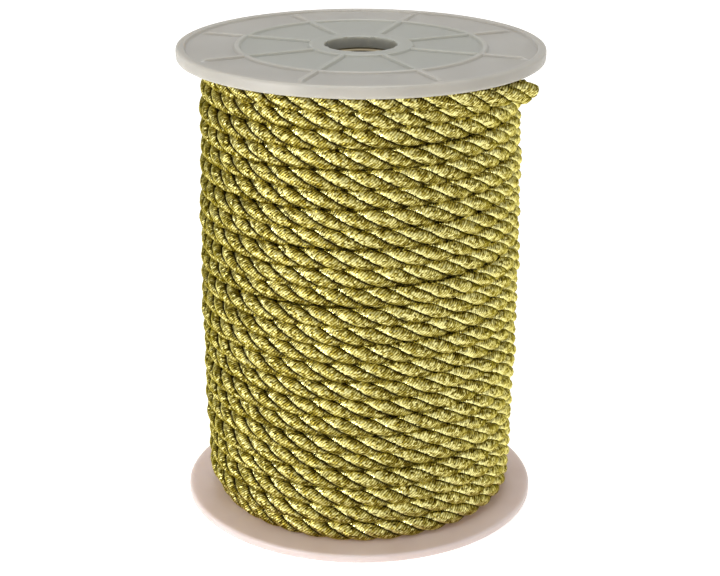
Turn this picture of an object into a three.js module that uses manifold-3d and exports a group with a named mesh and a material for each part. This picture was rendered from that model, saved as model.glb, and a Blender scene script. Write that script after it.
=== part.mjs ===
// A reel of twisted metallic cord: two ribbed plastic flanges on a board tube, wound full of gold
// three-ply cord. Millimetres, +Z up along the reel's axis, origin on the surface it stands on.

import * as THREE from "three";
import { mergeVertices } from "three/addons/utils/BufferGeometryUtils.js";
import Module from "manifold-3d";

const wasm = await Module();
wasm.setup();

// Reel
const REEL_HEIGHT = 126;
const GAP = 0.3; // clearance between neighbouring pieces

// Flange: a thin panel with a bead at the rim, a ring half way, a hub ring and eight spokes
const FLANGE_RADIUS = 48;
const TOP_THICKNESS = 3.2; // at the beads and spokes
const BOTTOM_THICKNESS = 2.2;
const RELIEF = 0.7; // height of the beads and spokes above the panel
const EDGE_CHAMFER = 0.5;
const BEAD_SLOPE = 0.35; // run of a bead's sloping side
const RIM_BEAD_WIDTH = 2.1;
const RING_RADIUS = 32.2;
const RING_WIDTH = 1.8;
const HUB_RING_RADIUS = 13.9;
const HOLE_RADIUS = 9.5;
const SPOKE_COUNT = 8;
const SPOKE_WIDTH = 1.5;
const SPOKE_START_RADIUS = 11.6; // inside the hub ring
const SPOKE_END_RADIUS = 44.6; // the spokes stop short of the rim bead
const FIRST_SPOKE_DEG = 25.5;
const FLANGE_SIDES = 56;

// Board tube between the flanges, a little narrower than their holes
const TUBE_INNER_RADIUS = 8.9;
const TUBE_WALL = 3;
const TUBE_SIDES = 40;

// Wound cord
const CORD_DIAMETER = 5.1;
const TURN_COUNT = 22.75; // that the outer layer climbs between its two level turns
const CLIMB_START_DEG = -90; // at the front
const WOUND_RADIUS = 41.5; // at both ends of the winding
const BULGE = 1.3; // by which it is wider half way up
const WOUND_SIDES = 40;
const UNEVEN_RADIUS = 0.3; // how far a turn sinks or stands proud
const UNEVEN_RISE = 0.35; // how far a turn wanders up or down

// One turn's section, from the groove under it to the groove above: share of the pitch, and depth
const TURN_SECTION = [
  { along: 0, depth: 1.7 },
  { along: 0.2, depth: 0.5 },
  { along: 0.5, depth: 0 },
  { along: 0.8, depth: 0.5 },
];

// The last turn lies level under the top flange, pushed out a little by the turn before it. At the
// front the cord's loose end leaves it and runs off to the right, almost straight.
const LAST_TURN_SWEEP_DEG = 104;
const LAST_TURN_PUSH = 0.6;
const LAST_TURN_STEPS = 16;
const LAST_TURN_SIDES = 12;
const LOOSE_END_SWEEP_DEG = 47;
const LOOSE_END_SPREAD = 8; // how far its tip stands off the winding
const LOOSE_END_SAG = 0.8;
const LOOSE_END_STEPS = 24;

// The cord's three plies; one goes round the others once in a lay
const LAY = 19.6;
const PLY_COUNT = 3;
const PLY_OFFSET = 1.18; // of a ply's middle from the cord's
const POINTS_PER_PLY = 4;

const WOUND_BOTTOM = BOTTOM_THICKNESS + GAP;
const WOUND_TOP = REEL_HEIGHT - TOP_THICKNESS - GAP;
const TURN_PITCH = (WOUND_TOP - WOUND_BOTTOM - CORD_DIAMETER) / TURN_COUNT;
const PLY_RADIUS = CORD_DIAMETER / 2 - PLY_OFFSET;
const LOOSE_END_TIP_DEG = LAST_TURN_SWEEP_DEG + LOOSE_END_SWEEP_DEG;
const TUBE_OUTER_RADIUS = TUBE_INNER_RADIUS + TUBE_WALL;
const TAU = 2 * Math.PI;
const { degToRad: radians, smoothstep } = THREE.MathUtils;

// A closed geometry as a solid for cutting and joining
function solidOf(geometry) {
  const bare = geometry.clone();
  bare.deleteAttribute("normal");
  bare.deleteAttribute("uv");
  const merged = mergeVertices(bare, 1e-4);
  return new wasm.Manifold(
    new wasm.Mesh({
      numProp: 3,
      vertProperties: merged.attributes.position.array,
      triVerts: new Uint32Array(merged.index.array),
    }),
  );
}

// A solid as a geometry with flat-shaded faces
function geometryOf(solid) {
  const mesh = solid.getMesh();
  const indexed = new THREE.BufferGeometry();
  indexed.setAttribute("position", new THREE.BufferAttribute(mesh.vertProperties, 3));
  indexed.setIndex(new THREE.BufferAttribute(mesh.triVerts, 1));
  const geometry = indexed.toNonIndexed();
  geometry.computeVertexNormals();
  return geometry;
}

// A closed profile of [radius, height] points turned about the reel's axis; the points run
// anticlockwise with the radius to the right
function turned(profile, sides) {
  const points = profile.map(([radius, height]) => new THREE.Vector2(radius, height));
  points.push(points[0].clone());
  return new THREE.LatheGeometry(points, sides).rotateX(Math.PI / 2);
}

// A ring with a rectangular section
function ring(innerRadius, outerRadius, bottom, top, sides) {
  return turned(
    [
      [innerRadius, bottom],
      [outerRadius, bottom],
      [outerRadius, top],
      [innerRadius, top],
    ],
    sides,
  );
}

// One spoke along +X: a bar with a round outer end, let into the panel
function spoke(top) {
  const half = SPOKE_WIDTH / 2;
  const outline = new THREE.Shape();
  outline.moveTo(SPOKE_START_RADIUS, -half);
  outline.lineTo(SPOKE_END_RADIUS - half, -half);
  outline.absarc(SPOKE_END_RADIUS - half, 0, half, -Math.PI / 2, Math.PI / 2);
  outline.lineTo(SPOKE_START_RADIUS, half);
  const bar = new THREE.ExtrudeGeometry(outline, {
    depth: 2 * RELIEF,
    bevelEnabled: false,
    curveSegments: 4,
  });
  return bar.translate(0, 0, top - 2 * RELIEF);
}

// A flange with its inner face at height 0 and its beads on top
function flangeSolid(top) {
  const panel = top - RELIEF;
  const rimInside = FLANGE_RADIUS - RIM_BEAD_WIDTH;
  const ringOutside = RING_RADIUS + RING_WIDTH / 2;
  const ringInside = RING_RADIUS - RING_WIDTH / 2;
  const disc = turned(
    [
      [HOLE_RADIUS, 0],
      [FLANGE_RADIUS - EDGE_CHAMFER, 0],
      [FLANGE_RADIUS, EDGE_CHAMFER],
      [FLANGE_RADIUS, top - EDGE_CHAMFER],
      [FLANGE_RADIUS - EDGE_CHAMFER, top],
      [rimInside, top],
      [rimInside - BEAD_SLOPE, panel],
      [ringOutside, panel],
      [ringOutside - BEAD_SLOPE, top],
      [ringInside + BEAD_SLOPE, top],
      [ringInside, panel],
      [HUB_RING_RADIUS, panel],
      [HUB_RING_RADIUS - BEAD_SLOPE, top],
      [HOLE_RADIUS, top],
    ],
    FLANGE_SIDES,
  );
  let flange = solidOf(disc);
  for (let k = 0; k < SPOKE_COUNT; k++) {
    const angle = radians(FIRST_SPOKE_DEG) + (k * TAU) / SPOKE_COUNT;
    flange = flange.add(solidOf(spoke(top).rotateZ(angle)));
  }
  return flange;
}

// The turns are uneven except in the first and last of them. Places are given in turns from the
// bottom, and the first turn's middle is half a turn up.
function unevenness(turns) {
  return smoothstep(turns, 0.5, 1.5) * smoothstep(TURN_COUNT + 0.5 - turns, 0, 1);
}

// Radius over the turns at a height, without their unevenness
function girth(height) {
  const share = THREE.MathUtils.clamp((height - WOUND_BOTTOM) / (WOUND_TOP - WOUND_BOTTOM), 0, 1);
  return WOUND_RADIUS + BULGE * Math.sin(Math.PI * share);
}

// How far a turn stands proud; it repeats on no turn
function proud(turns) {
  const wave = Math.sin(2 * TAU * turns + 2.3 * turns) + Math.sin(5.1 * turns);
  return UNEVEN_RADIUS * 0.5 * wave * unevenness(turns);
}

// How far a turn wanders from its even height
function rise(turns) {
  const wave = Math.sin(TAU * turns + 3.7 * turns) + Math.sin(3 * TAU * turns - 1.9 * turns);
  return UNEVEN_RISE * 0.5 * wave * unevenness(turns);
}

// Height of the cord's middle, where it climbs evenly
function heightAt(turns) {
  return WOUND_BOTTOM + CORD_DIAMETER / 2 + TURN_PITCH * (turns - 0.5);
}

// The wound body's outside: a ridge for each turn, climbing as a helix, closed to the axis at both
// ends. It runs past each flange, and is cut to length afterwards.
function helicalBody() {
  const perTurn = TURN_SECTION.length;
  const firstTurn = -2;
  const turnCount = Math.ceil((WOUND_TOP - WOUND_BOTTOM) / TURN_PITCH) + 4;
  const rowCount = turnCount * perTurn;
  const positions = [];
  const places = new Map();

  // A row and a column of the grid; the last column of one turn is the first of the next
  function place(row, column) {
    if (column === WOUND_SIDES) return place(row + perTurn, 0);
    const key = row * WOUND_SIDES + column;
    if (!places.has(key)) {
      const section = TURN_SECTION[row % perTurn];
      const turns = firstTurn + Math.floor(row / perTurn) + section.along + column / WOUND_SIDES;
      const angle = radians(CLIMB_START_DEG) + (TAU * column) / WOUND_SIDES;
      const radius = girth(heightAt(turns)) - section.depth + proud(turns);
      const height = heightAt(turns) + rise(turns);
      places.set(key, positions.length / 3);
      positions.push(radius * Math.cos(angle), radius * Math.sin(angle), height);
    }
    return places.get(key);
  }

  const faces = [];
  for (let row = 0; row < rowCount; row++) {
    for (let column = 0; column < WOUND_SIDES; column++) {
      const low = place(row, column);
      const lowNext = place(row, column + 1);
      const high = place(row + 1, column);
      const highNext = place(row + 1, column + 1);
      faces.push(low, lowNext, highNext, low, highNext, high);
    }
  }

  // Each end is a fan from a point on the axis to the last row and the step where it closes
  function cap(row, height, facing) {
    const edge = [];
    for (let column = 0; column <= WOUND_SIDES; column++) edge.push(place(row, column));
    for (let step = perTurn - 1; step > 0; step--) edge.push(place(row + step, 0));
    const centre = positions.length / 3;
    positions.push(0, 0, height);
    edge.forEach((from, k) => {
      const to = edge[(k + 1) % edge.length];
      faces.push(centre, ...(facing > 0 ? [from, to] : [to, from]));
    });
  }
  cap(0, heightAt(firstTurn), -1);
  cap(rowCount, heightAt(firstTurn + turnCount + 1), 1);

  const body = new THREE.BufferGeometry();
  body.setAttribute("position", new THREE.Float32BufferAttribute(positions, 3));
  body.setIndex(faces);
  return body;
}

// The cord's middle on its last turn and its loose end, between two angles swept from where the
// last turn begins
class LastTurn extends THREE.Curve {
  constructor(fromDeg, toDeg) {
    super();
    this.fromDeg = fromDeg;
    this.toDeg = toDeg;
  }

  getPoint(share, target = new THREE.Vector3()) {
    const swept = THREE.MathUtils.lerp(this.fromDeg, this.toDeg, share);
    const push = LAST_TURN_PUSH * smoothstep(swept, 0, LAST_TURN_SWEEP_DEG);
    const loose = Math.max(0, swept - LAST_TURN_SWEEP_DEG) / LOOSE_END_SWEEP_DEG;
    const level = WOUND_TOP - CORD_DIAMETER / 2;
    const radius = girth(level) - CORD_DIAMETER / 2 + push + LOOSE_END_SPREAD * loose ** 2;
    const angle = TAU * TURN_COUNT + radians(CLIMB_START_DEG + swept);
    const height = level - LOOSE_END_SAG * loose ** 2;
    return target.set(radius * Math.cos(angle), radius * Math.sin(angle), height);
  }
}

// A section carried along a path, and turned once in each lay if there is one. Its x points
// outwards from the reel and its y points down.
function swept(section, path, steps, lay = Infinity) {
  const geometry = new THREE.ExtrudeGeometry(new THREE.Shape(section), {
    depth: 1,
    steps,
    bevelEnabled: false,
  });
  const up = new THREE.Vector3(0, 0, 1);
  const positions = geometry.attributes.position;
  for (let k = 0; k < positions.count; k++) {
    const share = THREE.MathUtils.clamp(positions.getZ(k), 0, 1);
    const place = new THREE.Vector2(positions.getX(k), positions.getY(k));
    place.rotateAround(new THREE.Vector2(), (TAU * share * path.getLength()) / lay);
    const forward = path.getTangentAt(share);
    const outward = new THREE.Vector3().crossVectors(forward, up).normalize();
    const downward = new THREE.Vector3().crossVectors(forward, outward);
    const point = path.getPointAt(share);
    point.addScaledVector(outward, place.x).addScaledVector(downward, place.y);
    positions.setXYZ(k, point.x, point.y, point.z);
  }
  geometry.computeVertexNormals();
  return geometry;
}

// Section of the cord at its three plies: its outline is the outermost of their circles
function pliedSection() {
  const section = [];
  const count = PLY_COUNT * POINTS_PER_PLY;
  for (let k = 0; k < count; k++) {
    const fromPly = (TAU / count) * (k % POINTS_PER_PLY);
    const nearest = Math.min(fromPly, TAU / PLY_COUNT - fromPly);
    const across = PLY_OFFSET * Math.sin(nearest);
    const reach = PLY_OFFSET * Math.cos(nearest) + Math.sqrt(PLY_RADIUS ** 2 - across ** 2);
    section.push(new THREE.Vector2(reach, 0).rotateAround(new THREE.Vector2(), (TAU * k) / count));
  }
  return section;
}

function roundSection(radius, sides) {
  const circle = new THREE.EllipseCurve(0, 0, radius, radius);
  return circle.getPoints(sides).slice(0, sides);
}

// Section of the room that the loose end takes: round towards the reel, open outwards and up
function roomSection() {
  const half = CORD_DIAMETER / 2 + GAP;
  const inner = new THREE.EllipseCurve(0, 0, half, half, Math.PI / 2, Math.PI).getPoints(6);
  const corners = [
    [-half, -2 * half],
    [FLANGE_RADIUS, -2 * half],
    [FLANGE_RADIUS, half],
  ];
  return [...inner, ...corners.map(([out, down]) => new THREE.Vector2(out, down))];
}

// The largest body of a solid, with the pockets closed inside it filled
function largestBody(solid) {
  return solid.decompose().reduce((best, body) => (body.volume() > best.volume() ? body : best));
}

// The wound cord: the helical body, cut away round the loose end, and its last turn, both cut to
// the space between the flanges
function woundCord() {
  const space = ring(
    TUBE_OUTER_RADIUS + GAP,
    FLANGE_RADIUS,
    WOUND_BOTTOM,
    WOUND_TOP,
    TUBE_SIDES,
  );
  const lastTurn = swept(
    roundSection(CORD_DIAMETER / 2, LAST_TURN_SIDES),
    new LastTurn(0, LAST_TURN_SWEEP_DEG),
    LAST_TURN_STEPS,
  );
  const room = swept(
    roomSection(),
    new LastTurn(LAST_TURN_SWEEP_DEG, LOOSE_END_TIP_DEG),
    LOOSE_END_STEPS,
  );
  const wound = solidOf(helicalBody()).subtract(solidOf(room)).add(solidOf(lastTurn));
  return largestBody(wound.intersect(solidOf(space)));
}

// The cord's loose end, a little apart from the last turn that it continues
function looseEnd() {
  const start = LAST_TURN_SWEEP_DEG + THREE.MathUtils.radToDeg(GAP / WOUND_RADIUS);
  return swept(pliedSection(), new LastTurn(start, LOOSE_END_TIP_DEG), LOOSE_END_STEPS, LAY);
}

const plastic = new THREE.MeshStandardMaterial({
  name: "translucent white plastic",
  color: "#cfcdc8",
  roughness: 0.45,
  metalness: 0,
});
const board = new THREE.MeshStandardMaterial({
  name: "grey-brown board",
  color: "#8a7a63",
  roughness: 0.9,
  metalness: 0,
});
const metallicCord = new THREE.MeshStandardMaterial({
  name: "gold metallic cord",
  color: "#b8a23c",
  roughness: 0.4,
  metalness: 0.6,
});

const reel = new THREE.Group();

function addPiece(name, geometry, material) {
  const piece = new THREE.Mesh(geometry, material);
  piece.name = name;
  reel.add(piece);
  return piece;
}

const topFlange = addPiece("top_flange", geometryOf(flangeSolid(TOP_THICKNESS)), plastic);
topFlange.position.z = REEL_HEIGHT - TOP_THICKNESS;

const bottomFlange = addPiece("bottom_flange", geometryOf(flangeSolid(BOTTOM_THICKNESS)), plastic);
bottomFlange.rotation.x = Math.PI;
bottomFlange.position.z = BOTTOM_THICKNESS;

addPiece(
  "core_tube",
  ring(TUBE_INNER_RADIUS, TUBE_OUTER_RADIUS, WOUND_BOTTOM, WOUND_TOP, TUBE_SIDES),
  board,
);
addPiece("wound_cord", geometryOf(woundCord()), metallicCord);
addPiece("cord_end", looseEnd(), metallicCord);

export default reel;
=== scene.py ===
"""A reel of twisted metallic cord, dressed for a studio picture.

Two moulded plastic flanges on a board tube hold a three-ply cord of gold metallic thread. The script
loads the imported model, builds a finer piece for each of its nodes, and sets up the studio.
"""

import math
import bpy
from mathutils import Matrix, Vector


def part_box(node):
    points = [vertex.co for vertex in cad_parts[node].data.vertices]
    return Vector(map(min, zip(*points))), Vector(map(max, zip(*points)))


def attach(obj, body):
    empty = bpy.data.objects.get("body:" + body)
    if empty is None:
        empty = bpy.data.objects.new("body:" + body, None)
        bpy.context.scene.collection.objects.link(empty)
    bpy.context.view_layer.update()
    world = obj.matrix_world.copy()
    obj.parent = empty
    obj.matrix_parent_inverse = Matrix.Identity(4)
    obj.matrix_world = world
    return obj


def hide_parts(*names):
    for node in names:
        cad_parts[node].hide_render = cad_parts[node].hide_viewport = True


bl_info = {
    "name": "Reel of Metallic Cord",
    "version": (1, 0, 0),
    "blender": (4, 5, 0),
    "location": "View3D > Sidebar > Reel",
    "description": "Builds a plastic reel wound full of twisted gold metallic cord",
    "category": "Object",
}

import bpy
import numpy as np
from bpy.props import FloatProperty, IntProperty, PointerProperty, StringProperty
from mathutils import Matrix, Vector

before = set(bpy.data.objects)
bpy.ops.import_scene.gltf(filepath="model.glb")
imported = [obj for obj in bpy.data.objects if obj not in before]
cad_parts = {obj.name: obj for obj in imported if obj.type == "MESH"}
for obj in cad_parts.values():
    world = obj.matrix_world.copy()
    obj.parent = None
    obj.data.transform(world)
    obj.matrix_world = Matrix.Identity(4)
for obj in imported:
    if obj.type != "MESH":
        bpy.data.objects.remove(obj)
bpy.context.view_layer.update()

MM = 0.001
TAU = 2 * math.pi
BODY = "root"
# Places on the cord's path are given in turns; the outer layer begins to climb at this one
FIRST = 0.5
# Length over which the flat end of a ply is drawn to a point
CAP = 0.01 * MM

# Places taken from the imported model, in metres
FLANGE_RADIUS, _, REEL_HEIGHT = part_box("top_flange")[1]
WOUND_BOTTOM, WOUND_TOP = (corner[2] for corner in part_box("wound_cord"))


# Settings


class ReelSettings(bpy.types.PropertyGroup):
    """Sizes of the moulded flanges and the board tube"""

    thickness: FloatProperty(
        name="Top flange",
        description="Thickness of the top flange at its beads",
        default=3.2 * MM,
        unit="LENGTH",
    )
    foot_thickness: FloatProperty(
        name="Bottom flange",
        description="Thickness of the bottom flange at its beads",
        default=2.2 * MM,
        unit="LENGTH",
    )
    relief: FloatProperty(
        name="Relief",
        description="Height of the beads and spokes above the panel",
        default=0.7 * MM,
        unit="LENGTH",
    )
    rim_bead: FloatProperty(
        name="Rim bead", description="Width of the bead at the rim", default=2.1 * MM, unit="LENGTH"
    )
    ring_radius: FloatProperty(
        name="Ring radius",
        description="Middle of the ring half way out",
        default=32.2 * MM,
        unit="LENGTH",
    )
    ring_width: FloatProperty(
        name="Ring width", description="Width of that ring", default=1.8 * MM, unit="LENGTH"
    )
    hub_radius: FloatProperty(
        name="Hub ring", description="Outer radius of the hub ring", default=13.9 * MM, unit="LENGTH"
    )
    hole_radius: FloatProperty(
        name="Hole", description="Radius of the spindle hole", default=9.5 * MM, unit="LENGTH"
    )
    spoke_count: IntProperty(name="Spokes", description="Number of raised spokes", default=8, min=3)
    spoke_width: FloatProperty(
        name="Spoke width", description="Width of a spoke", default=1.5 * MM, unit="LENGTH"
    )
    spoke_end: FloatProperty(
        name="Spoke end",
        description="Radius where a spoke ends, short of the rim bead",
        default=44.6 * MM,
        unit="LENGTH",
    )
    first_spoke: FloatProperty(
        name="First spoke",
        description="Direction of the first spoke from +X",
        default=math.radians(25.5),
        subtype="ANGLE",
    )
    tube_inner: FloatProperty(
        name="Tube inside", description="Inner radius of the board tube", default=8.9 * MM, unit="LENGTH"
    )
    tube_wall: FloatProperty(
        name="Tube wall", description="Thickness of the board", default=3 * MM, unit="LENGTH"
    )


class CordSettings(bpy.types.PropertyGroup):
    """Sizes of the cord and of its winding"""

    diameter: FloatProperty(
        name="Cord", description="Diameter of the cord", default=5.1 * MM, unit="LENGTH"
    )
    turns: FloatProperty(
        name="Turns",
        description="Turns that the outer layer climbs between the two level turns",
        default=22.75,
    )
    climb_start: FloatProperty(
        name="Climb start",
        description="Direction from +X in which the outer layer begins to climb",
        default=math.radians(-90),
        subtype="ANGLE",
    )
    wound_radius: FloatProperty(
        name="Wound radius",
        description="Radius over the outer layer of turns, at both ends of the winding",
        default=41.5 * MM,
        unit="LENGTH",
    )
    bulge: FloatProperty(
        name="Bulge",
        description="How much wider the winding is half way up",
        default=1.3 * MM,
        unit="LENGTH",
    )
    layer_step: FloatProperty(
        name="Layer step",
        description="From the middle of one layer of turns to the next, which lies in its grooves",
        default=4.3 * MM,
        unit="LENGTH",
    )
    lay: FloatProperty(
        name="Lay",
        description="Length of cord in which a ply goes once round",
        default=19.6 * MM,
        unit="LENGTH",
    )
    ply_count: IntProperty(name="Plies", description="Plies in the cord", default=3, min=2)
    ply_radius: FloatProperty(
        name="Ply radius", description="Radius of one ply", default=1.75 * MM, unit="LENGTH"
    )
    ply_offset: FloatProperty(
        name="Ply offset",
        description="Distance of a ply's middle from the middle of the cord",
        default=1.12 * MM,
        unit="LENGTH",
    )
    thread_pitch: FloatProperty(
        name="Thread pitch",
        description="Spacing of the metallic threads laid across a ply",
        default=0.55 * MM,
        unit="LENGTH",
    )
    uneven_radius: FloatProperty(
        name="Sinking", description="How far a turn sinks or stands proud", default=0.3 * MM, unit="LENGTH"
    )
    uneven_rise: FloatProperty(
        name="Wandering", description="How far a turn wanders up or down", default=0.35 * MM, unit="LENGTH"
    )
    last_turn: FloatProperty(
        name="Last turn",
        description="Angle that the cord lies level under the top flange before it comes loose",
        default=math.radians(104),
        subtype="ANGLE",
    )
    last_push: FloatProperty(
        name="Push",
        description="How far the last turn is pushed out by the one before it",
        default=0.6 * MM,
        unit="LENGTH",
    )
    loose_end: FloatProperty(
        name="Loose end",
        description="Angle of the reel that the loose end passes",
        default=math.radians(47),
        subtype="ANGLE",
    )
    loose_spread: FloatProperty(
        name="Spread",
        description="How far the loose end's tip stands off the winding",
        default=8 * MM,
        unit="LENGTH",
    )
    loose_sag: FloatProperty(
        name="Sag", description="How far the loose end's tip sags", default=0.8 * MM, unit="LENGTH"
    )
    loose_flare: FloatProperty(
        name="Flare",
        description="How far the plies open at the loose end's tip",
        default=0.35 * MM,
        unit="LENGTH",
    )


class FinishSettings(bpy.types.PropertyGroup):
    """Colours of the finishes, as sRGB hex values"""

    plastic: StringProperty(
        name="Plastic", description="Translucent white polypropylene", default="#A7A49D"
    )
    plastic_dull: StringProperty(
        name="Plastic, dull", description="Cloudy patches in it", default="#A09D96"
    )
    plastic_inside: StringProperty(
        name="Plastic, inside", description="Where the panel is thin inside the ring", default="#9A9C94"
    )
    # The lower flange's plastic: pinker, and painted paler for the light it takes from the floor
    foot_pinker_painted_lit: StringProperty(name="Foot", description="Pinker batch of the lower flange", default="#D2C4C2")
    foot_dull_painted_lit: StringProperty(name="Foot, dull", description="Cloudy patches in it", default="#CABAB6")
    # The board's grey-brown and its dark fibres, darkened further as painted shade
    board: StringProperty(name="Board", description="Grey-brown paper board", default="#544936")
    board_dull: StringProperty(name="Board, dull", description="Dark fibres in it", default="#393022")
    # Painted light on the board's upper end
    board_lit_end: StringProperty(
        name="Board, cut", description="Clean fibres at its cut end", default="#C9BA98"
    )
    # Also the painted highlight along each ply's lower edge
    gold_bright: StringProperty(
        name="Gold, bright", description="Metallic foil facing the light", default="#F6EEA4"
    )
    gold: StringProperty(name="Gold", description="Metallic foil in general", default="#A0923E")
    # Also the low end of each ply's painted shade
    gold_deep: StringProperty(
        name="Gold, deep", description="Olive gold between the threads", default="#4A3A04"
    )
    # Painted shade, mixed in down in the grooves between the plies
    shade: StringProperty(name="Shade", description="Brown-black of the grooves", default="#1C1206")
    floor: StringProperty(name="Floor", description="White light table", default="#F4F3F1")


# Small tools


def linear(code):
    """Linear red, green and blue of an sRGB hex colour, and full alpha."""
    parts = [int(code[i : i + 2], 16) / 255 for i in (1, 3, 5)]
    return (*(c / 12.92 if c <= 0.04045 else ((c + 0.055) / 1.055) ** 2.4 for c in parts), 1.0)


def add_node(tree, kind, inputs=None, **settings):
    """Adds a node. Inputs pair a socket's name or number with a value or with another node's output."""
    node = tree.nodes.new(kind)
    for name, value in settings.items():
        setattr(node, name, value)
    for socket, value in (inputs or {}).items():
        if isinstance(value, bpy.types.NodeSocket):
            tree.links.new(value, node.inputs[socket])
        else:
            node.inputs[socket].default_value = value
    return node


def new_material(name):
    """An empty material, and its node tree."""
    material = bpy.data.materials.new(name)
    material.use_nodes = True
    material.node_tree.nodes.clear()
    return material, material.node_tree


def end_material(tree, inputs):
    """Ends a material's tree with its Principled shader and the output."""
    shader = add_node(tree, "ShaderNodeBsdfPrincipled", inputs)
    add_node(tree, "ShaderNodeOutputMaterial", {"Surface": shader.outputs["BSDF"]})


def new_object(name, vertices, faces):
    """A mesh object at the origin."""
    mesh = bpy.data.meshes.new(name)
    mesh.from_pydata(vertices, [], faces)
    mesh.update()
    piece = bpy.data.objects.new(name, mesh)
    bpy.context.scene.collection.objects.link(piece)
    return piece


def smooth(piece, corner_degrees=40):
    """Shades a piece smooth but for its sharp corners."""
    piece.data.shade_smooth()
    piece.data.set_sharp_from_angle(angle=math.radians(corner_degrees))


def finish_piece(piece, material, node):
    """Gives a piece its finish and its place on the reel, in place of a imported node."""
    piece.data.materials.clear()
    piece.data.materials.append(material)
    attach(piece, BODY)
    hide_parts(node)


def flattened(tree, place):
    """The part of a place that lies square to the reel's axis."""
    parts = add_node(tree, "ShaderNodeSeparateXYZ", {0: place})
    flat = add_node(tree, "ShaderNodeCombineXYZ", {0: parts.outputs["X"], 1: parts.outputs["Y"]})
    return flat.outputs["Vector"]


def new_geometry_tree(name, sockets):
    """A Geometry Nodes tree with a geometry input and named inputs, and those inputs' sockets."""
    tree = bpy.data.node_groups.new(name, "GeometryNodeTree")
    tree.interface.new_socket("Geometry", in_out="INPUT", socket_type="NodeSocketGeometry")
    tree.interface.new_socket("Geometry", in_out="OUTPUT", socket_type="NodeSocketGeometry")
    for title, kind in sockets:
        tree.interface.new_socket(title, in_out="INPUT", socket_type=kind)
    return tree, add_node(tree, "NodeGroupInput").outputs


def end_geometry_tree(tree, geometry, material):
    """Ends a tree with real geometry in one finish."""
    real = add_node(tree, "GeometryNodeRealizeInstances", {"Geometry": geometry})
    dressed = add_node(
        tree,
        "GeometryNodeSetMaterial",
        {"Geometry": real.outputs["Geometry"], "Material": material},
    )
    add_node(tree, "NodeGroupOutput", {"Geometry": dressed.outputs["Geometry"]})


def grown(name, base, tree, values):
    """The plain mesh object that a tree makes from a base object, which is removed."""
    modifier = base.modifiers.new(tree.name, "NODES")
    modifier.node_group = tree
    for item in tree.interface.items_tree:
        if item.in_out == "INPUT" and item.name in values:
            modifier[item.identifier] = values[item.name]
    bpy.context.view_layer.update()
    evaluated = base.evaluated_get(bpy.context.evaluated_depsgraph_get())
    mesh = bpy.data.meshes.new_from_object(evaluated)
    mesh.name = name
    bpy.data.objects.remove(base)
    piece = bpy.data.objects.new(name, mesh)
    bpy.context.scene.collection.objects.link(piece)
    return piece


# Materials


def plastic_material(name, pale, dull, inside):
    """Moulded translucent polypropylene: soft milky depth, satin skin, faint flow marks."""
    material, tree = new_material(name)
    place = add_node(tree, "ShaderNodeTexCoord").outputs["Object"]
    # Flow marks and handling: cloudy patches about 14 mm across
    cloud = add_node(tree, "ShaderNodeTexNoise", {"Vector": place, "Scale": 1 / (14 * MM), "Detail": 3.0})
    patches = add_node(
        tree, "ShaderNodeMapRange", {"Value": cloud.outputs["Fac"], "From Min": 0.3, "From Max": 0.7}
    )
    colour = add_node(
        tree,
        "ShaderNodeMix",
        {"Factor": patches.outputs["Result"], 6: linear(dull), 7: linear(pale)},
        data_type="RGBA",
    )
    # The panel is thinner inside the ring half way out, and lets the dark tube show through
    thin_to, thick_from = 31 * MM, 33 * MM
    radius = add_node(tree, "ShaderNodeVectorMath", {0: flattened(tree, place)}, operation="LENGTH")
    thinness = add_node(
        tree,
        "ShaderNodeMapRange",
        {
            "Value": radius.outputs["Value"],
            "From Min": thin_to,
            "From Max": thick_from,
            "To Min": 0.65,
            "To Max": 0.0,
        },
        interpolation_type="SMOOTHSTEP",
    )
    shown = add_node(
        tree,
        "ShaderNodeMix",
        {"Factor": thinness.outputs["Result"], 6: colour.outputs[2], 7: linear(inside)},
        data_type="RGBA",
    )
    # Satin texture of the mould, about 0.5 mm
    grain = add_node(
        tree, "ShaderNodeTexNoise", {"Vector": place, "Scale": 1 / (0.5 * MM), "Detail": 2.0}
    )
    bump = add_node(
        tree,
        "ShaderNodeBump",
        {"Height": grain.outputs["Fac"], "Strength": 0.12, "Distance": 0.05 * MM},
    )
    rough = add_node(
        tree,
        "ShaderNodeMapRange",
        {"Value": cloud.outputs["Fac"], "To Min": 0.36, "To Max": 0.5},
    )
    inputs = {
        "Base Color": shown.outputs[2],
        "Roughness": rough.outputs["Result"],
        "Normal": bump.outputs["Normal"],
        "IOR": 1.49,
        "Subsurface Weight": 0.7,
        "Subsurface Radius": (1.0, 0.9, 0.75),
        "Subsurface Scale": 5 * MM,
    }
    end_material(tree, inputs)
    return material


def board_material(finish):
    """Spiral-wound paper board: matt and fibrous, its brown darkened as painted shade and its upper end
    painted pale as though lit.
    """
    material, tree = new_material("Spiral-wound paper board")
    place = add_node(tree, "ShaderNodeTexCoord").outputs["Object"]
    fibres = add_node(
        tree,
        "ShaderNodeTexNoise",
        {"Vector": place, "Scale": 1 / (0.8 * MM), "Detail": 5.0, "Roughness": 0.7},
    )
    colour = add_node(
        tree,
        "ShaderNodeMix",
        {"Factor": fibres.outputs["Fac"], 6: linear(finish.board_dull), 7: linear(finish.board)},
        data_type="RGBA",
    )
    # Painted light: the board's upper end is painted pale, as though lit
    lit_from, lit_to = WOUND_TOP - 0.5 * MM, WOUND_TOP - 0.2 * MM
    height = add_node(tree, "ShaderNodeSeparateXYZ", {0: place}).outputs["Z"]
    cut = add_node(
        tree,
        "ShaderNodeMapRange",
        {"Value": height, "From Min": lit_from, "From Max": lit_to},
    )
    shown = add_node(
        tree,
        "ShaderNodeMix",
        {"Factor": cut.outputs["Result"], 6: colour.outputs[2], 7: linear(finish.board_lit_end)},
        data_type="RGBA",
    )
    bump = add_node(
        tree,
        "ShaderNodeBump",
        {"Height": fibres.outputs["Fac"], "Strength": 0.4, "Distance": 0.1 * MM},
    )
    inputs = {"Base Color": shown.outputs[2], "Roughness": 0.9, "Normal": bump.outputs["Normal"]}
    end_material(tree, inputs)
    return material


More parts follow.
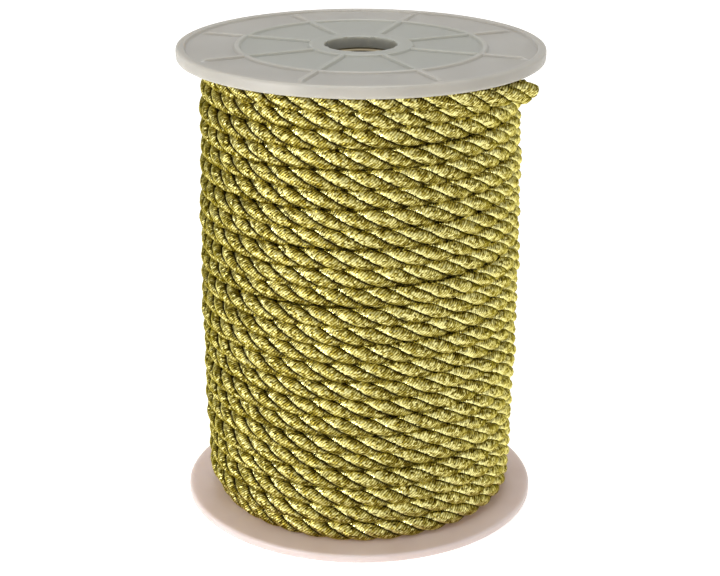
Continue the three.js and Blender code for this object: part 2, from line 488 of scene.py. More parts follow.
def cord_material(finish, cord):
    """Metallic foil thread, twisted: each thread is a flat bright strip, so it glitters in short
    flecks. Painted shade takes it olive and then brown-black down in the grooves."""
    material, tree = new_material("Gold metallic foil thread")
    surface = add_node(tree, "ShaderNodeUVMap", uv_map="UVMap").outputs["UV"]
    # The threads cross the ply at a slant: turn the pattern before its stripes are drawn
    slanted = add_node(
        tree,
        "ShaderNodeMapping",
        {"Vector": surface, "Rotation": (0, 0, math.radians(-20))},
    ).outputs["Vector"]
    wobble = add_node(
        tree, "ShaderNodeTexNoise", {"Vector": surface, "Scale": 1 / (1.2 * MM), "Detail": 2.0}
    )
    wobble_vector = add_node(
        tree,
        "ShaderNodeVectorMath",
        {0: wobble.outputs["Color"], "Scale": 0.35 * MM},
        operation="SCALE",
    )
    path = add_node(
        tree, "ShaderNodeVectorMath", {0: slanted, 1: wobble_vector.outputs[0]}, operation="ADD"
    ).outputs[0]
    # A wave texture repeats every pi / 10 of its scaled coordinate
    threads = add_node(
        tree,
        "ShaderNodeTexWave",
        {"Vector": path, "Scale": math.pi / 10 / cord.thread_pitch},
        wave_type="BANDS",
        bands_direction="X",
    )
    # Flecks: short lengths of foil, each tilted its own way, about one thread wide
    fleck_place = add_node(
        tree,
        "ShaderNodeMapping",
        {"Vector": path, "Scale": (1 / cord.thread_pitch, 0.75 / cord.thread_pitch, 1)},
    )
    flecks = add_node(
        tree,
        "ShaderNodeTexVoronoi",
        {"Vector": fleck_place.outputs["Vector"], "Scale": 1.0, "Randomness": 0.9},
        voronoi_dimensions="2D",
    )
    glint = add_node(tree, "ShaderNodeSeparateColor", {"Color": flecks.outputs["Color"]}).outputs["Red"]
    # From deep olive gold in the dips between threads to bright foil on top
    tone = add_node(
        tree,
        "ShaderNodeMath",
        {0: threads.outputs["Fac"], 1: 0.4, 2: -0.05},
        operation="MULTIPLY_ADD",
    )
    tone = add_node(
        tree, "ShaderNodeMath", {0: glint, 1: 0.75, 2: tone.outputs[0]}, operation="MULTIPLY_ADD"
    )
    # Painted light and shade: each ply's tone runs from painted brown shade at its upper edge to a lower
    # edge painted bright, as though lit from the lower left
    outward = add_node(tree, "ShaderNodeAttribute", attribute_name="outward").outputs["Fac"]
    side = add_node(tree, "ShaderNodeAttribute", attribute_name="side").outputs["Fac"]
    tone = add_node(
        tree, "ShaderNodeMath", {0: side, 1: 0.25, 2: tone.outputs[0]}, operation="MULTIPLY_ADD"
    )
    ramp = add_node(tree, "ShaderNodeValToRGB", {"Fac": tone.outputs[0]})
    stops = ramp.color_ramp.elements
    stops[0].position, stops[0].color = 0.1, linear(finish.gold_deep)
    stops[1].position, stops[1].color = 0.95, linear(finish.gold_bright)
    middle = stops.new(0.5)
    middle.color = linear(finish.gold)
    # A painted highlight along each ply's lower edge, which is also smoother than the rest
    edge = add_node(
        tree,
        "ShaderNodeMapRange",
        {"Value": side, "From Min": 0.44, "From Max": 0.56, "To Max": 0.85},
        interpolation_type="SMOOTHSTEP",
    )
    bright = add_node(
        tree,
        "ShaderNodeMix",
        {"Factor": edge.outputs["Result"], 6: ramp.outputs["Color"], 7: linear(finish.gold_bright)},
        data_type="RGBA",
    )
    rough = add_node(
        tree, "ShaderNodeMapRange", {"Value": edge.outputs["Result"], "To Min": 0.42, "To Max": 0.22}
    )
    # The groove between that edge and the neighbour's upper edge is in the shade
    clear = add_node(tree, "ShaderNodeMath", {0: side, 1: 0.3, 2: outward}, operation="MULTIPLY_ADD")
    lit = add_node(
        tree,
        "ShaderNodeMapRange",
        {"Value": clear.outputs[0], "From Min": 0.6, "From Max": 0.8},
        interpolation_type="SMOOTHSTEP",
    )
    colour = add_node(
        tree,
        "ShaderNodeMix",
        {"Factor": lit.outputs["Result"], 6: linear(finish.shade), 7: bright.outputs[2]},
        data_type="RGBA",
    )
    # Relief of the threads, and each fleck's tilt, up to about a third of the normal's length each way
    bump = add_node(
        tree,
        "ShaderNodeBump",
        {"Height": threads.outputs["Fac"], "Strength": 0.7, "Distance": 0.1 * MM},
    )
    tilt = add_node(
        tree,
        "ShaderNodeVectorMath",
        {0: flecks.outputs["Color"], 1: (0.7, 0.7, 0.7), 2: (-0.35, -0.35, -0.35)},
        operation="MULTIPLY_ADD",
    )
    tilted = add_node(
        tree, "ShaderNodeVectorMath", {0: bump.outputs["Normal"], 1: tilt.outputs[0]}, operation="ADD"
    )
    facing = add_node(tree, "ShaderNodeVectorMath", {0: tilted.outputs[0]}, operation="NORMALIZE")
    inputs = {
        "Base Color": colour.outputs[2],
        "Metallic": 1.0,
        "Roughness": rough.outputs["Result"],
        "Normal": facing.outputs[0],
        "Specular Tint": linear(finish.gold_bright),
    }
    end_material(tree, inputs)
    return material


def floor_material(finish):
    """Opal acrylic sheet of a photographer's light table, lit from below."""
    material, tree = new_material("Back-lit opal acrylic")
    place = add_node(tree, "ShaderNodeTexCoord").outputs["Object"]
    grain = add_node(tree, "ShaderNodeTexNoise", {"Vector": place, "Scale": 1 / (3 * MM)})
    bump = add_node(
        tree,
        "ShaderNodeBump",
        {"Height": grain.outputs["Fac"], "Strength": 0.05, "Distance": 0.1 * MM},
    )
    inputs = {
        "Base Color": linear(finish.floor),
        "Roughness": 0.7,
        "Normal": bump.outputs["Normal"],
        "Emission Color": linear(finish.floor),
        "Emission Strength": 0.55,
    }
    end_material(tree, inputs)
    return material


# Shapes of revolution


def rounded(corners, steps=4):
    """A closed outline of (radius, height, fillet) corners, each of them rounded off."""
    most = 0.49  # share of a side that one fillet may take
    outline = []
    count = len(corners)
    for k, (radius, height, fillet) in enumerate(corners):
        here = Vector((radius, height))
        before = Vector(corners[k - 1][:2]) - here
        after = Vector(corners[(k + 1) % count][:2]) - here
        reach = min(fillet, most * before.length, most * after.length)
        start = here + before.normalized() * reach
        end = here + after.normalized() * reach
        for i in range(steps + 1):
            share = i / steps
            outline.append(start * (1 - share) ** 2 + here * (2 * share * (1 - share)) + end * share**2)
    return outline


def divided(outline, longest):
    """A closed outline with extra points, so that no stretch is longer than a length."""
    points = []
    for k, here in enumerate(outline):
        after = outline[(k + 1) % len(outline)]
        pieces = max(1, math.ceil((after - here).length / longest))
        points += [here.lerp(after, i / pieces) for i in range(pieces)]
    return points


def turned(name, outline, angles):
    """A closed outline turned about the reel's axis. A function gives its columns' angles at a radius."""
    vertices = []
    for radius, height in outline:
        vertices += [
            (radius * math.cos(angle), radius * math.sin(angle), height) for angle in angles(radius)
        ]
    rows = len(outline)
    columns = len(vertices) // rows
    faces = []
    for row in range(rows):
        for column in range(columns):
            low = row * columns
            high = (row + 1) % rows * columns
            after = (column + 1) % columns
            faces.append((low + column, low + after, high + after, high + column))
    return new_object(name, vertices, faces)


def flange_outline(reel, top):
    """Section of a flange: inner face at height 0, beads on top."""
    panel = top - reel.relief
    rim_inside = FLANGE_RADIUS - reel.rim_bead
    ring_out = reel.ring_radius + reel.ring_width / 2
    ring_in = reel.ring_radius - reel.ring_width / 2
    # How far a bead's side leans, and the fillets
    slope = 0.35 * MM
    soft, hole_edge, rim_edge = 0.35 * MM, 0.5 * MM, 0.8 * MM
    longest = 1.2 * MM
    corners = [
        (reel.hole_radius, 0, soft),
        (FLANGE_RADIUS, 0, rim_edge),
        (FLANGE_RADIUS, top, rim_edge),
        (rim_inside, top, soft),
        (rim_inside - slope, panel, soft),
        (ring_out, panel, soft),
        (ring_out - slope, top, soft),
        (ring_in + slope, top, soft),
        (ring_in, panel, soft),
        (reel.hub_radius, panel, soft),
        (reel.hub_radius - slope, top, soft),
        (reel.hole_radius, top, hole_edge),
    ]
    return divided(rounded(corners), longest)


def spoke_columns(reel):
    """Columns of the flange's grid: close lines along each spoke's sides, even ones between."""
    sector = TAU / reel.spoke_count
    # Lines beside a spoke's middle line, in millimetres, which follow its rounded shoulders
    offsets = [-line * MM for line in (1.35, 1.0, 0.8, 0.6, 0.35)]
    offsets += [0.0] + [-line for line in reversed(offsets)]
    between = 10

    def angles(radius):
        columns = []
        for k in range(reel.spoke_count):
            middle = reel.first_spoke + k * sector
            columns += [middle + math.asin(line / radius) for line in offsets]
            last = columns[-1]
            following = middle + sector + math.asin(offsets[0] / radius)
            columns += [last + (following - last) * i / between for i in range(1, between)]
        return columns

    return angles


def spoke_tree(material):
    """Raises the spokes on a flange: points near a spoke's line are lifted to its rounded top."""
    tree, given = new_geometry_tree(
        "Raise Spokes",
        [
            ("Spokes", "NodeSocketInt"),
            ("First Spoke", "NodeSocketFloat"),
            ("Half Width", "NodeSocketFloat"),
            ("End Radius", "NodeSocketFloat"),
            ("Panel Height", "NodeSocketFloat"),
            ("Relief", "NodeSocketFloat"),
        ],
    )
    # A spoke's shoulders, as shares of its half width, and the length of its sloping end
    shoulder_from, shoulder_to = 0.7, 1.25
    end_slope = 1.2 * MM
    # Points this little below the panel still count as its own
    tolerance = 0.01 * MM
    place = add_node(tree, "GeometryNodeInputPosition").outputs[0]
    parts = add_node(tree, "ShaderNodeSeparateXYZ", {0: place})
    x, y, z = (parts.outputs[axis] for axis in "XYZ")
    angle = add_node(tree, "ShaderNodeMath", {0: y, 1: x}, operation="ARCTAN2").outputs[0]
    sector = add_node(tree, "ShaderNodeMath", {0: TAU, 1: given["Spokes"]}, operation="DIVIDE").outputs[0]
    turned_angle = add_node(
        tree, "ShaderNodeMath", {0: angle, 1: given["First Spoke"]}, operation="SUBTRACT"
    ).outputs[0]
    half = add_node(tree, "ShaderNodeMath", {0: sector, 1: 0.5}, operation="MULTIPLY").outputs[0]
    low = add_node(tree, "ShaderNodeMath", {0: half, 1: -1.0}, operation="MULTIPLY").outputs[0]
    # The angle to the nearest spoke
    near = add_node(
        tree, "ShaderNodeMath", {0: turned_angle, 1: half, 2: low}, operation="WRAP"
    ).outputs[0]
    radius = add_node(
        tree, "ShaderNodeVectorMath", {0: flattened(tree, place)}, operation="LENGTH"
    ).outputs["Value"]
    sine = add_node(tree, "ShaderNodeMath", {0: near}, operation="SINE").outputs[0]
    side = add_node(tree, "ShaderNodeMath", {0: sine, 1: radius}, operation="MULTIPLY").outputs[0]
    beside = add_node(tree, "ShaderNodeMath", {0: side}, operation="ABSOLUTE").outputs[0]
    inner, outer = (
        add_node(
            tree, "ShaderNodeMath", {0: given["Half Width"], 1: share}, operation="MULTIPLY"
        ).outputs[0]
        for share in (shoulder_from, shoulder_to)
    )
    before_end = add_node(
        tree, "ShaderNodeMath", {0: given["End Radius"], 1: end_slope}, operation="SUBTRACT"
    ).outputs[0]
    # 1 on the spoke, and 0 beside it and past its end
    across, along = (
        add_node(
            tree,
            "ShaderNodeMapRange",
            {"Value": value, "From Min": start, "From Max": end, "To Min": 1.0, "To Max": 0.0},
            interpolation_type="SMOOTHSTEP",
        ).outputs["Result"]
        for value, start, end in ((beside, inner, outer), (radius, before_end, given["End Radius"]))
    )
    mask = add_node(tree, "ShaderNodeMath", {0: across, 1: along}, operation="MULTIPLY").outputs[0]
    raised = add_node(
        tree,
        "ShaderNodeMath",
        {0: mask, 1: given["Relief"], 2: given["Panel Height"]},
        operation="MULTIPLY_ADD",
    ).outputs[0]
    top = add_node(tree, "ShaderNodeMath", {0: raised, 1: z}, operation="MAXIMUM").outputs[0]
    lowest = add_node(
        tree, "ShaderNodeMath", {0: given["Panel Height"], 1: tolerance}, operation="SUBTRACT"
    ).outputs[0]
    chosen = add_node(tree, "FunctionNodeCompare", {0: z, 1: lowest}, operation="GREATER_THAN").outputs[0]
    moved = add_node(tree, "ShaderNodeCombineXYZ", {0: x, 1: y, 2: top})
    lifted = add_node(
        tree,
        "GeometryNodeSetPosition",
        {"Geometry": given["Geometry"], "Selection": chosen, "Position": moved.outputs[0]},
    )
    end_geometry_tree(tree, lifted.outputs["Geometry"], material)
    return tree


# The cord's path


def proud(turns, settings):
    """How far a turn stands proud at places on the cord's path. As in rise, two waves of unequal
    lengths keep the turns from being alike."""
    angle = TAU * turns
    wave = np.sin(2 * angle + 2.3 * turns) + np.sin(5.1 * turns)
    return settings.uneven_radius * wave / 2


def rise(turns, settings):
    """How far a turn wanders from its even height."""
    angle = TAU * turns
    wave = np.sin(angle + 3.7 * turns) + np.sin(3 * angle - 1.9 * turns)
    return settings.uneven_rise * wave / 2


def eased(value):
    """A value between 0 and 1 that starts and stops softly."""
    value = np.clip(value, 0, 1)
    return value * value * (3 - 2 * value)


def girth(height, settings):
    """Radius over the turns at a height."""
    share = np.clip((height - WOUND_BOTTOM) / (WOUND_TOP - WOUND_BOTTOM), 0, 1)
    return settings.wound_radius + settings.bulge * np.sin(math.pi * share)


def cord_path(settings, start, end, count):
    """Middle of the cord between two places: a level turn that comes out from under the outer
    layer, the climb, part of a level turn, and the loose end."""
    diameter = settings.diameter
    pitch = (WOUND_TOP - WOUND_BOTTOM - diameter) / settings.turns
    place = np.linspace(start, end, count)
    last = FIRST + settings.turns
    steady = eased(place - FIRST) * eased(last - place)
    height = WOUND_BOTTOM + diameter / 2 + pitch * (np.clip(place, FIRST, last) - FIRST)
    radius = girth(height, settings) - diameter / 2 + proud(place, settings) * steady
    height += rise(place, settings) * steady
    # The first turn comes out from under the outer layer
    radius -= diameter * (1 - np.clip(place - (FIRST - 1), 0, 1) ** 2)
    # The last turn is pushed out, and the loose end leaves the winding
    swept = TAU * (place - last)
    radius += settings.last_push * eased(swept / settings.last_turn)
    loose = np.clip((swept - settings.last_turn) / settings.loose_end, 0, None)
    radius += settings.loose_spread * loose**2
    height -= settings.loose_sag * loose**2
    angle = settings.climb_start + TAU * (place - FIRST)
    return np.stack([radius * np.cos(angle), radius * np.sin(angle), height], axis=1)


def sinking_turn(point, depth, count):
    """A level turn that runs on from a point of the winding and sinks inwards by a depth."""
    share = np.arange(1, count + 1) / count
    radius = math.hypot(point[0], point[1]) - depth * share
    angle = math.atan2(point[1], point[0]) + TAU * share
    height = np.full(count, point[2])
    return np.stack([radius * np.cos(angle), radius * np.sin(angle), height], axis=1)


def path_length(points):
    """Length of a path through the points."""
    return float(np.linalg.norm(np.diff(points, axis=0), axis=1).sum())


def with_caps(points):
    """A path with an extra point just inside each end, so that the end can be closed flat."""
    start, end = points[:1], points[-1:]
    after, before = points[1:2], points[-2:-1]
    inner_start = start + (after - start) * CAP / np.linalg.norm(after - start)
    inner_end = end + (before - end) * CAP / np.linalg.norm(before - end)
    return np.concatenate([start, inner_start, points[1:-1], inner_end, end])


def path_curve(name, points):
    """A curve object of one open spline through the points."""
    curve = bpy.data.curves.new(name, "CURVE")
    curve.dimensions = "3D"
    spline = curve.splines.new("POLY")
    spline.points.add(len(points) - 1)
    spline.points.foreach_set("co", np.hstack([points, np.ones((len(points), 1))]).ravel())
    path = bpy.data.objects.new(name, curve)
    bpy.context.scene.collection.objects.link(path)
    return path


def ply_tree(material):
    """Lays plies round the cord's path and gives them their thickness, their pattern coordinates
    and how far out of the cord and across a ply each point lies."""
    tree, given = new_geometry_tree(
        "Lay Ply",
        [
            ("Ply Offset", "NodeSocketFloat"),
            ("Ply Radius", "NodeSocketFloat"),
            ("Lay", "NodeSocketFloat"),
            ("Phase", "NodeSocketFloat"),
            ("Plies", "NodeSocketInt"),
            ("Sides", "NodeSocketInt"),
            ("Length Before", "NodeSocketFloat"),
            ("Start Taper", "NodeSocketFloat"),
            ("End Taper", "NodeSocketFloat"),
            ("End Flare", "NodeSocketFloat"),
            ("Flare Length", "NodeSocketFloat"),
        ],
    )
    copies = add_node(
        tree,
        "GeometryNodeDuplicateElements",
        {"Geometry": given["Geometry"], "Amount": given["Plies"]},
        domain="SPLINE",
    )
    # Each copy's share of a full turn
    share_of_turn = add_node(
        tree,
        "ShaderNodeMath",
        {0: copies.outputs["Duplicate Index"], 1: given["Plies"]},
        operation="DIVIDE",
    ).outputs[0]
    phase = add_node(
        tree, "ShaderNodeMath", {0: share_of_turn, 1: TAU, 2: given["Phase"]}, operation="MULTIPLY_ADD"
    ).outputs[0]
    from_start = add_node(tree, "GeometryNodeSplineParameter").outputs["Length"]
    along = add_node(
        tree, "ShaderNodeMath", {0: from_start, 1: given["Length Before"]}, operation="ADD"
    ).outputs[0]
    whole = add_node(tree, "GeometryNodeSplineLength").outputs["Length"]
    from_end = add_node(
        tree, "ShaderNodeMath", {0: whole, 1: from_start}, operation="SUBTRACT"
    ).outputs[0]
    position = add_node(tree, "GeometryNodeInputPosition").outputs[0]
    kept = add_node(tree, "GeometryNodeCaptureAttribute")
    for kind, name, value in (
        ("FLOAT", "Along", along),
        ("FLOAT", "Phase", phase),
        ("FLOAT", "From Start", from_start),
        ("FLOAT", "From End", from_end),
        ("VECTOR", "Centre", position),
    ):
        kept.capture_items.new(kind, name)
        tree.links.new(value, kept.inputs[name])
    tree.links.new(copies.outputs["Geometry"], kept.inputs["Geometry"])
    # Right-hand twist: outwards, then down, then inwards as the cord runs anticlockwise
    lays = add_node(
        tree, "ShaderNodeMath", {0: kept.outputs["Along"], 1: given["Lay"]}, operation="DIVIDE"
    ).outputs[0]
    twist = add_node(
        tree, "ShaderNodeMath", {0: lays, 1: TAU, 2: kept.outputs["Phase"]}, operation="MULTIPLY_ADD"
    ).outputs[0]
    cosine = add_node(tree, "ShaderNodeMath", {0: twist}, operation="COSINE").outputs[0]
    sine = add_node(tree, "ShaderNodeMath", {0: twist}, operation="SINE").outputs[0]
    outward = add_node(
        tree, "ShaderNodeVectorMath", {0: flattened(tree, position)}, operation="NORMALIZE"
    ).outputs[0]

    def square_step(outwards, downwards):
        """A unit step square to the cord, from its shares outwards and downwards."""
        out_step, down_step = (
            add_node(
                tree, "ShaderNodeVectorMath", {0: direction, "Scale": share}, operation="SCALE"
            ).outputs[0]
            for direction, share in ((outward, outwards), ((0, 0, -1), downwards))
        )
        return add_node(
            tree, "ShaderNodeVectorMath", {0: out_step, 1: down_step}, operation="ADD"
        ).outputs[0]

    # The plies open a little towards a cut end
    opened = add_node(
        tree,
        "ShaderNodeMapRange",
        {
            "Value": kept.outputs["From End"],
            "From Max": given["Flare Length"],
            "To Min": given["End Flare"],
            "To Max": 0.0,
        },
        interpolation_type="SMOOTHSTEP",
    ).outputs["Result"]
    distance_out = add_node(
        tree, "ShaderNodeMath", {0: given["Ply Offset"], 1: opened}, operation="ADD"
    ).outputs[0]
    offset = add_node(
        tree,
        "ShaderNodeVectorMath",
        {0: square_step(cosine, sine), "Scale": distance_out},
        operation="SCALE",
    ).outputs[0]
    # Across the ply, towards its lower left edge where it shows on the reel's front
    inwards = add_node(tree, "ShaderNodeMath", {0: sine, 1: -1.0}, operation="MULTIPLY").outputs[0]
    aimed = add_node(tree, "GeometryNodeCaptureAttribute", {"Geometry": kept.outputs["Geometry"]})
    aimed.capture_items.new("VECTOR", "Sideways")
    tree.links.new(square_step(inwards, cosine), aimed.inputs["Sideways"])
    laid = add_node(
        tree, "GeometryNodeSetPosition", {"Geometry": aimed.outputs["Geometry"], "Offset": offset}
    )
    # The start runs to a point inside the winding, and a taper of almost nothing closes an end flat
    start_width, end_width = (
        add_node(
            tree,
            "ShaderNodeMapRange",
            {"Value": kept.outputs[f"From {end}"], "From Max": given[f"{end} Taper"]},
            interpolation_type="SMOOTHSTEP",
        ).outputs["Result"]
        for end in ("Start", "End")
    )
    width = add_node(
        tree, "ShaderNodeMath", {0: start_width, 1: end_width}, operation="MINIMUM"
    ).outputs[0]
    upright = add_node(
        tree, "GeometryNodeSetCurveNormal", {"Curve": laid.outputs["Geometry"]}, mode="Z_UP"
    )
    columns = add_node(tree, "ShaderNodeMath", {0: given["Sides"], 1: 1.0}, operation="ADD").outputs[0]
    section = add_node(
        tree,
        "GeometryNodeCurveArc",
        {"Resolution": columns, "Radius": given["Ply Radius"], "Sweep Angle": TAU},
    )
    round_section = add_node(tree, "GeometryNodeCaptureAttribute")
    round_section.capture_items.new("FLOAT", "Around")
    tree.links.new(section.outputs["Curve"], round_section.inputs["Geometry"])
    around = add_node(tree, "GeometryNodeSplineParameter").outputs["Factor"]
    tree.links.new(around, round_section.inputs["Around"])
    tube = add_node(
        tree,
        "GeometryNodeCurveToMesh",
        {
            "Curve": upright.outputs["Curve"],
            "Profile Curve": round_section.outputs["Geometry"],
            "Scale": width,
        },
    )
    # The pattern's coordinates are real lengths, along the cord and round the ply
    once_round = add_node(
        tree, "ShaderNodeMath", {0: given["Ply Radius"], 1: TAU}, operation="MULTIPLY"
    ).outputs[0]
    across = add_node(
        tree,
        "ShaderNodeMath",
        {0: round_section.outputs["Around"], 1: once_round},
        operation="MULTIPLY",
    ).outputs[0]
    pattern = add_node(tree, "ShaderNodeCombineXYZ", {0: kept.outputs["Along"], 1: across})
    marked = add_node(
        tree,
        "GeometryNodeStoreNamedAttribute",
        {"Geometry": tube.outputs["Mesh"], "Name": "UVMap", "Value": pattern.outputs[0]},
        data_type="FLOAT2",
        domain="CORNER",
    )
    # Where a point lies, as shares of the cord's radius: out from its middle, and across the ply
    reach = add_node(
        tree, "ShaderNodeMath", {0: given["Ply Radius"], 1: given["Ply Offset"]}, operation="ADD"
    ).outputs[0]
    from_centre = add_node(
        tree,
        "ShaderNodeVectorMath",
        {0: position, 1: kept.outputs["Centre"]},
        operation="SUBTRACT",
    ).outputs[0]
    distance = add_node(
        tree, "ShaderNodeVectorMath", {0: from_centre}, operation="LENGTH"
    ).outputs["Value"]
    beside = add_node(
        tree,
        "ShaderNodeVectorMath",
        {0: from_centre, 1: aimed.outputs["Sideways"]},
        operation="DOT_PRODUCT",
    ).outputs["Value"]
    for name, value in (("outward", distance), ("side", beside)):
        share = add_node(tree, "ShaderNodeMath", {0: value, 1: reach}, operation="DIVIDE").outputs[0]
        marked = add_node(
            tree,
            "GeometryNodeStoreNamedAttribute",
            {"Geometry": marked.outputs["Geometry"], "Name": name, "Value": share},
        )
    # The seam round each ply and the points at its ends are closed
    closed = add_node(
        tree,
        "GeometryNodeMergeByDistance",
        {"Geometry": marked.outputs["Geometry"], "Distance": CAP / 5},
    )
    end_geometry_tree(tree, closed.outputs["Geometry"], material)
    return tree


# Operators


class REEL_OT_flanges(bpy.types.Operator):
    """Mould the two flanges with their beads, rings and spokes"""

    bl_idname = "reel.flanges"
    bl_label = "Flanges"

    def execute(self, context):
        reel, finish = context.scene.reel, context.scene.reel_finish
        upright = Matrix.Translation((0, 0, REEL_HEIGHT - reel.thickness))
        over = Matrix.Translation((0, 0, reel.foot_thickness)) @ Matrix.Rotation(math.pi, 4, "X")
        name = "Moulded translucent polypropylene"
        inside = finish.plastic_inside
        white = plastic_material(name, finish.plastic, finish.plastic_dull, inside)
        # The lower flange's plastic is pinker, and painted paler for the light that the floor throws up on
        # it
        pinker_painted_lit_plastic = plastic_material(name + ", pinker and painted paler", finish.foot_pinker_painted_lit, finish.foot_dull_painted_lit, inside)
        for node, thickness, place, material in (
            ("top_flange", reel.thickness, upright, white),
            ("bottom_flange", reel.foot_thickness, over, pinker_painted_lit_plastic),
        ):
            plain = turned("plain", flange_outline(reel, thickness), spoke_columns(reel))
            values = {
                "Spokes": reel.spoke_count,
                "First Spoke": reel.first_spoke,
                "Half Width": reel.spoke_width / 2,
                "End Radius": reel.spoke_end,
                "Panel Height": thickness - reel.relief,
                "Relief": reel.relief,
            }
            piece = grown(node + "_moulding", plain, spoke_tree(material), values)
            piece.data.transform(place)
            smooth(piece)
            finish_piece(piece, material, node)
        return {"FINISHED"}


class REEL_OT_core_tube(bpy.types.Operator):
    """Wind the board tube between the flanges"""

    bl_idname = "reel.core_tube"
    bl_label = "Board Tube"

    def execute(self, context):
        reel = context.scene.reel
        inner, outer = reel.tube_inner, reel.tube_inner + reel.tube_wall
        soft = 0.3 * MM
        longest = 6 * MM
        corners = [
            (inner, WOUND_BOTTOM, soft),
            (outer, WOUND_BOTTOM, soft),
            (outer, WOUND_TOP, soft),
            (inner, WOUND_TOP, soft),
        ]
        # The same even columns at every radius
        columns = 96
        even = [TAU * i / columns for i in range(columns)]
        tube = turned("board_tube", divided(rounded(corners), longest), lambda radius: even)
        smooth(tube)
        finish_piece(tube, board_material(context.scene.reel_finish), "core_tube")
        return {"FINISHED"}


class REEL_OT_cord(bpy.types.Operator):
    """Lay the cord's plies: the outer layer, its loose end, and the layer that shows between turns"""

    bl_idname = "reel.cord"
    bl_label = "Cord"

    def execute(self, context):
        cord = context.scene.reel_cord
        material = cord_material(context.scene.reel_finish, cord)
        tree = ply_tree(material)
        last = FIRST + cord.turns
        loose = last + cord.last_turn / TAU
        tip = loose + cord.loose_end / TAU
        steps_per_lay = 16
        steps_per_turn = 48
        start_taper = 12 * MM

        def route(start, end, trial_steps):
            """A stretch of the cord's path, in steps that suit its twist."""
            length = path_length(cord_path(cord, start, end, trial_steps))
            return cord_path(cord, start, end, round(length / cord.lay * steps_per_lay))

        wound = route(FIRST - 1, loose, 4000)
        free = route(loose, tip, 400)
        common = {
            "Ply Offset": cord.ply_offset,
            "Ply Radius": cord.ply_radius,
            "Lay": cord.lay,
            "Sides": 12,
            "Start Taper": CAP,
            "End Taper": CAP,
            "Flare Length": CAP,
        }

        def laid(name, points, **values):
            """A piece that follows the points."""
            piece = grown(name, path_curve(name + "_path", with_caps(points)), tree, common | values)
            smooth(piece, corner_degrees=50)
            return piece

        values = {
            "Plies": cord.ply_count,
            "Length Before": path_length(wound),
            "End Flare": cord.loose_flare,
            "Flare Length": 2 * cord.diameter,
        }
        loose_piece = laid("cord_loose_end", free, **values)
        finish_piece(loose_piece, material, "cord_end")
        for k in range(cord.ply_count):
            phase = TAU * k / cord.ply_count
            values = {"Phase": phase, "Plies": 1, "Start Taper": start_taper}
            ply = laid(f"cord_ply_{k + 1}", wound, **values)
            finish_piece(ply, material, "wound_cord")

        # The layer beneath lies in the outer one's grooves: half a turn round, and a step in. At the
        # top it goes on for a level turn, behind the gap that the outer layer's climb leaves
        beneath = cord_path(cord, FIRST, last, round(steps_per_turn * cord.turns))
        inwards = 1 - cord.layer_step / np.linalg.norm(beneath[:, :2], axis=1)
        beneath[:, :2] *= -inwards[:, None]
        level = sinking_turn(beneath[-1], cord.diameter, steps_per_turn)
        beneath = np.concatenate([beneath, level])
        overlap = 0.1 * MM
        values = {"Ply Offset": 0.0, "Ply Radius": cord.diameter / 2 + overlap, "Plies": 1}
        layer = laid("cord_layer_beneath", beneath, **values)
        finish_piece(layer, material, "wound_cord")
        return {"FINISHED"}


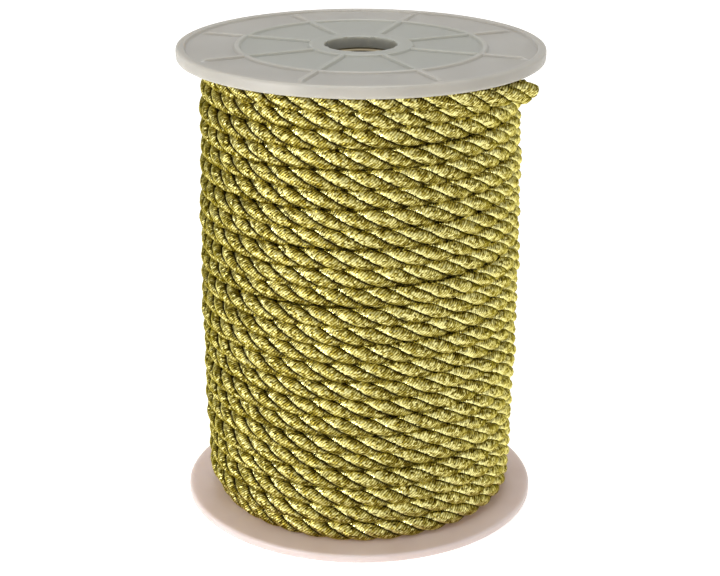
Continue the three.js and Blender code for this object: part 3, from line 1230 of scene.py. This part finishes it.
class REEL_OT_stage(bpy.types.Operator):
    """Set up the floor, the soft lights and the camera"""

    bl_idname = "reel.stage"
    bl_label = "Studio"

    def execute(self, context):
        scene = context.scene
        reach = 3.0
        corners = [(-reach, -reach, 0), (reach, -reach, 0), (reach, reach, 0), (-reach, reach, 0)]
        floor = new_object("floor", corners, [(0, 1, 2, 3)])
        floor.data.materials.append(floor_material(scene.reel_finish))

        world = bpy.data.worlds.new("Studio")
        world.use_nodes = True
        background = world.node_tree.nodes["Background"]
        background.inputs["Color"].default_value = (1, 1, 1, 1)
        background.inputs["Strength"].default_value = 0.45
        scene.world = world
        scene.view_settings.view_transform = "Standard"

        # Soft boxes: name, place, width, power; each looks at the middle of the reel
        middle = Vector((0, 0, REEL_HEIGHT / 2))
        for name, place, width, power in (
            ("key", (-0.45, -0.75, 0.85), 0.3, 3.0),
            ("low", (-0.75, -0.6, 0.1), 0.25, 5.2),
            ("fill", (0.8, -0.5, 0.3), 0.4, 1.2),
            ("top", (0.0, 0.25, 1.1), 0.5, 5.5),
        ):
            light = bpy.data.lights.new(name, "AREA")
            light.shape = "DISK"
            light.size = width
            light.energy = power
            lamp = bpy.data.objects.new(name, light)
            lamp.location = place
            lamp.rotation_euler = (middle - lamp.location).to_track_quat("-Z", "Y").to_euler()
            scene.collection.objects.link(lamp)

        # The photograph's viewpoint, in flange radii, and its lens
        distance, above = 9.122 * FLANGE_RADIUS, 4.570 * FLANGE_RADIUS
        camera_data = bpy.data.cameras.new("camera")
        camera_data.lens = 85.34
        camera_data.sensor_width = 36
        camera_data.clip_start = 0.01
        camera = bpy.data.objects.new("camera", camera_data)
        tilt = 0.3524
        roll = 0.004
        look = Matrix.Rotation(math.pi / 2 - tilt, 4, "X") @ Matrix.Rotation(roll, 4, "Z")
        camera.matrix_world = Matrix.Translation((0, -distance, above)) @ look
        scene.collection.objects.link(camera)
        scene.camera = camera
        return {"FINISHED"}


class REEL_PT_panel(bpy.types.Panel):
    """Lists the reel's settings and its pieces"""

    bl_idname = "REEL_PT_panel"
    bl_label = "Reel of Cord"
    bl_space_type = "VIEW_3D"
    bl_region_type = "UI"
    bl_category = "Reel"

    def draw(self, context):
        for group in (context.scene.reel, context.scene.reel_cord, context.scene.reel_finish):
            box = self.layout.box()
            for name in group.__annotations__:
                box.prop(group, name)
        for operator in OPERATORS:
            self.layout.operator(operator.bl_idname)


GROUPS = {"reel": ReelSettings, "reel_cord": CordSettings, "reel_finish": FinishSettings}
OPERATORS = (REEL_OT_stage, REEL_OT_cord, REEL_OT_flanges, REEL_OT_core_tube)
CLASSES = (*GROUPS.values(), *OPERATORS, REEL_PT_panel)


def register():
    for cls in CLASSES:
        bpy.utils.register_class(cls)
    for name, group in GROUPS.items():
        setattr(bpy.types.Scene, name, PointerProperty(type=group))


def unregister():
    for name in GROUPS:
        delattr(bpy.types.Scene, name)
    for cls in reversed(CLASSES):
        bpy.utils.unregister_class(cls)


def main():
    register()
    bpy.ops.reel.stage()
    bpy.ops.reel.cord()
    bpy.ops.reel.flanges()
    bpy.ops.reel.core_tube()


if __name__ == "__main__":
    main()
